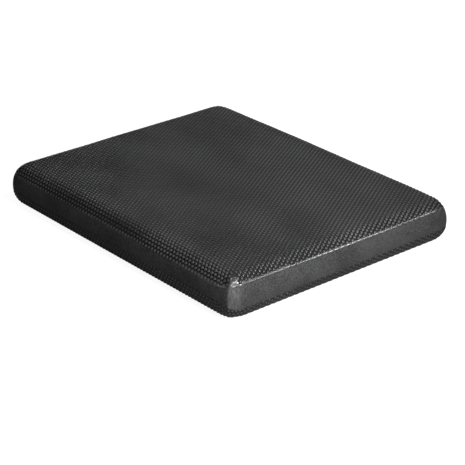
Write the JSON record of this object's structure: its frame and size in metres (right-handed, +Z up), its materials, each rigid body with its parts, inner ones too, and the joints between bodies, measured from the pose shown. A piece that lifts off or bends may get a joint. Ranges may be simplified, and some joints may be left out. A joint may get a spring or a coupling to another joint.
{
  "type": "balance pad",
  "caption": "Soft rectangular foam balance pad with rounded edges, anti-slip pip skins above and below and a smooth side band.",
  "frame": {"origin": "middle of the underside, on the surface that the pad lies on", "axes": "+Z up out of the standing surface, +Y along the pad's length, +X across its width"},
  "size_m": [0.4, 0.5, 0.0615],
  "materials": {
    "pip_skin": "black thermoplastic elastomer sheet embossed with small raised anti-slip pips",
    "band_skin": "black thermoplastic elastomer strip with a fine, dull grain",
    "core_foam": "black closed-cell foam"
  },
  "bodies": {
    "root": {"top_skin": "pip_skin", "bottom_skin": "pip_skin", "side_band": "band_skin", "core_upper": "core_foam", "core_middle": "core_foam", "core_lower": "core_foam"}
  },
  "joints": []
}
